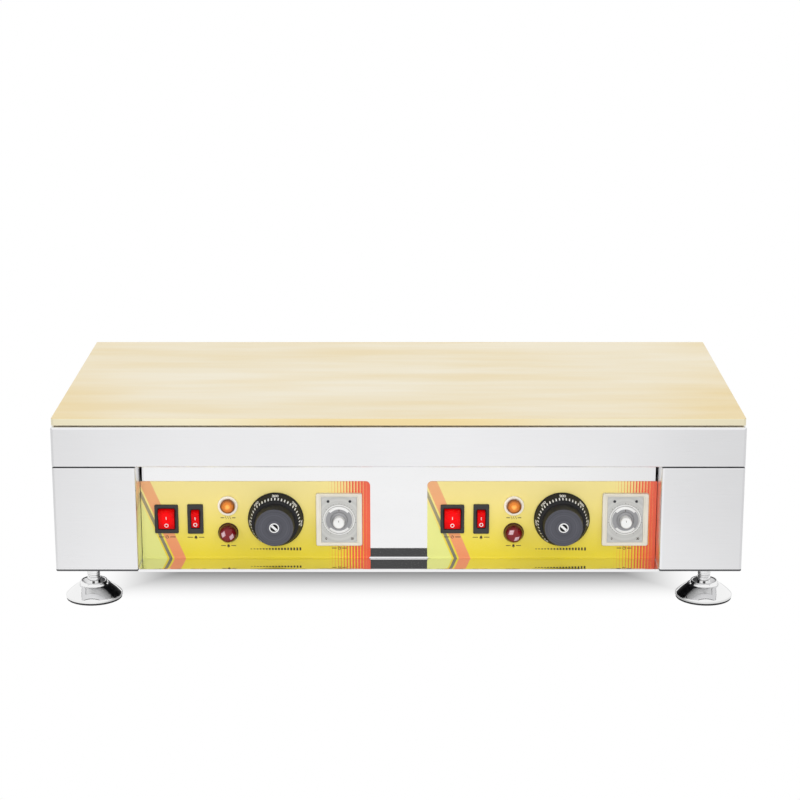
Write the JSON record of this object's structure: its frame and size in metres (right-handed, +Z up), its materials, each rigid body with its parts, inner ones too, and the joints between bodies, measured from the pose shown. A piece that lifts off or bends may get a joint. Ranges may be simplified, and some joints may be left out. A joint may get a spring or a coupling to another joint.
{
  "type": "souffle pancake machine",
  "caption": "Countertop souffle pancake griddle: thick brass plate on a stainless body, with rocker switches, lamps, temperature dials and timers in a front recess, on screw feet.",
  "frame": {"origin": "on the floor, under the middle of the body", "axes": "+Z up, +X along the width to the user's right, +Y to the back; the controls face -Y"},
  "size_m": [0.73, 0.35, 0.2112],
  "materials": {
    "plate_brass": "brushed along X",
    "gasket_fibre": "matt",
    "casing_steel": "satin",
    "panel_steel": "mirror polished",
    "overlay_print": "printed film",
    "switch_black": "moulded",
    "rocker_red": "moulded",
    "lamp_ring": "moulded",
    "lamp_base": "moulded",
    "lens_amber": "clear moulded",
    "lens_red": "clear moulded",
    "dial_black": "turned face",
    "cap_metal": "polished",
    "timer_ivory": "moulded",
    "timer_grey": "painted",
    "timer_white": "moulded",
    "inner_plastic": "moulded",
    "inner_steel": "bright",
    "heater_steel": "oxidised",
    "bulb_copper": "drawn",
    "mat_fibre": "fibrous",
    "foot_chrome": "plated",
    "zinc": "plated",
    "gland_black": "moulded",
    "block_white": "moulded",
    "wire_red": "silicone"
  },
  "bodies": {
    "machine": {"cooking_plate": "plate_brass", "plate_gasket": "gasket_fibre", "plate_studs": "zinc", "plate_nuts": "zinc", "rim_band": "casing_steel", "left_casing": "casing_steel", "right_casing": "casing_steel", "base_pan": "inner_steel", "control_panel": "panel_steel", "rear_cover": "casing_steel", "left_overlay": "overlay_print", "right_overlay": "overlay_print", "left_power_switch": "switch_black", "right_power_switch": "switch_black", "left_alarm_switch": "switch_black", "right_alarm_switch": "switch_black", "heat_lamp_holders": "lamp_ring", "left_heat_lamp_lens": "lens_amber", "right_heat_lamp_lens": "lens_amber", "alarm_lamp_holders": "lamp_base", "left_alarm_lamp_lens": "lens_red", "right_alarm_lamp_lens": "lens_red", "left_thermostat": "inner_plastic", "right_thermostat": "inner_plastic", "sensor_bulbs": "bulb_copper", "left_timer_frame": "timer_ivory", "right_timer_frame": "timer_ivory", "left_timer_case": "timer_grey", "right_timer_case": "timer_grey", "left_heating_element": "heater_steel", "right_heating_element": "heater_steel", "clamp_bars": "zinc", "insulation_mat": "mat_fibre", "insulation_tray": "inner_steel", "foot_nuts": "zinc", "cable_glands": "gland_black", "terminal_blocks": "block_white", "wiring": "wire_red", "casing_screws": "zinc"},
    "left_power_rocker": {"left_power_rocker": "rocker_red"},
    "left_alarm_rocker": {"left_alarm_rocker": "rocker_red"},
    "left_temperature_dial": {"left_temperature_knob": "dial_black", "left_knob_cap": "cap_metal", "left_thermostat_shaft": "inner_steel"},
    "left_timer_dial": {"left_timer_dial": "timer_white"},
    "right_power_rocker": {"right_power_rocker": "rocker_red"},
    "right_alarm_rocker": {"right_alarm_rocker": "rocker_red"},
    "right_temperature_dial": {"right_temperature_knob": "dial_black", "right_knob_cap": "cap_metal", "right_thermostat_shaft": "inner_steel"},
    "right_timer_dial": {"right_timer_dial": "timer_white"},
    "front_left_foot_pad": {"front_left_foot_pad": "foot_chrome"},
    "front_left_foot_stem": {"front_left_foot_stem": "foot_chrome"},
    "front_right_foot_pad": {"front_right_foot_pad": "foot_chrome"},
    "front_right_foot_stem": {"front_right_foot_stem": "foot_chrome"},
    "rear_left_foot_pad": {"rear_left_foot_pad": "foot_chrome"},
    "rear_left_foot_stem": {"rear_left_foot_stem": "foot_chrome"},
    "rear_right_foot_pad": {"rear_right_foot_pad": "foot_chrome"},
    "rear_right_foot_stem": {"rear_right_foot_stem": "foot_chrome"}
  },
  "joints": [
    {"name": "left_power_rocker_tilt", "type": "hinge", "parent": "machine", "child": "left_power_rocker", "pos_m": [-0.2496, -0.1385, 0.09], "axis": [-1, 0, 0], "range_deg": [0, 22]},
    {"name": "left_alarm_rocker_tilt", "type": "hinge", "parent": "machine", "child": "left_alarm_rocker", "pos_m": [-0.2186, -0.1385, 0.09], "axis": [-1, 0, 0], "range_deg": [0, 22]},
    {"name": "left_temperature_dial_turn", "type": "hinge", "parent": "machine", "child": "left_temperature_dial", "pos_m": [-0.1321, -0.1395, 0.09], "axis": [0, 1, 0], "range_deg": [-135, 135]},
    {"name": "left_timer_dial_turn", "type": "hinge", "parent": "machine", "child": "left_timer_dial", "pos_m": [-0.0641, -0.1395, 0.09], "axis": [0, 1, 0], "range_deg": [0, 300]},
    {"name": "right_power_rocker_tilt", "type": "hinge", "parent": "machine", "child": "right_power_rocker", "pos_m": [0.0576, -0.1385, 0.09], "axis": [-1, 0, 0], "range_deg": [0, 22]},
    {"name": "right_alarm_rocker_tilt", "type": "hinge", "parent": "machine", "child": "right_alarm_rocker", "pos_m": [0.0886, -0.1385, 0.09], "axis": [-1, 0, 0], "range_deg": [0, 22]},
    {"name": "right_temperature_dial_turn", "type": "hinge", "parent": "machine", "child": "right_temperature_dial", "pos_m": [0.1751, -0.1395, 0.09], "axis": [0, 1, 0], "range_deg": [-135, 135]},
    {"name": "right_timer_dial_turn", "type": "hinge", "parent": "machine", "child": "right_timer_dial", "pos_m": [0.2431, -0.1395, 0.09], "axis": [0, 1, 0], "range_deg": [0, 300]},
    {"name": "front_left_foot_height", "type": "slide", "parent": "machine", "child": "front_left_foot_pad", "axis": [0, 0, -1], "range_m": [-0.015, 0.015]},
    {"name": "front_left_foot_turn", "type": "hinge", "parent": "front_left_foot_pad", "child": "front_left_foot_stem", "pos_m": [-0.331, -0.135, 0.02], "axis": [0, 0, 1], "range_deg": [-2705, 2705]},
    {"name": "front_right_foot_height", "type": "slide", "parent": "machine", "child": "front_right_foot_pad", "axis": [0, 0, -1], "range_m": [-0.015, 0.015]},
    {"name": "front_right_foot_turn", "type": "hinge", "parent": "front_right_foot_pad", "child": "front_right_foot_stem", "pos_m": [0.331, -0.135, 0.02], "axis": [0, 0, 1], "range_deg": [-2705, 2705]},
    {"name": "rear_left_foot_height", "type": "slide", "parent": "machine", "child": "rear_left_foot_pad", "axis": [0, 0, -1], "range_m": [-0.015, 0.015]},
    {"name": "rear_left_foot_turn", "type": "hinge", "parent": "rear_left_foot_pad", "child": "rear_left_foot_stem", "pos_m": [-0.331, 0.135, 0.02], "axis": [0, 0, 1], "range_deg": [-2705, 2705]},
    {"name": "rear_right_foot_height", "type": "slide", "parent": "machine", "child": "rear_right_foot_pad", "axis": [0, 0, -1], "range_m": [-0.015, 0.015]},
    {"name": "rear_right_foot_turn", "type": "hinge", "parent": "rear_right_foot_pad", "child": "rear_right_foot_stem", "pos_m": [0.331, 0.135, 0.02], "axis": [0, 0, 1], "range_deg": [-2705, 2705]}
  ],
  "couplings": [
    {"joint": "front_left_foot_turn", "follows": "front_left_foot_height", "rad_per_m": -3141.6},
    {"joint": "front_right_foot_turn", "follows": "front_right_foot_height", "rad_per_m": -3141.6},
    {"joint": "rear_left_foot_turn", "follows": "rear_left_foot_height", "rad_per_m": -3141.6},
    {"joint": "rear_right_foot_turn", "follows": "rear_right_foot_height", "rad_per_m": -3141.6}
  ]
}
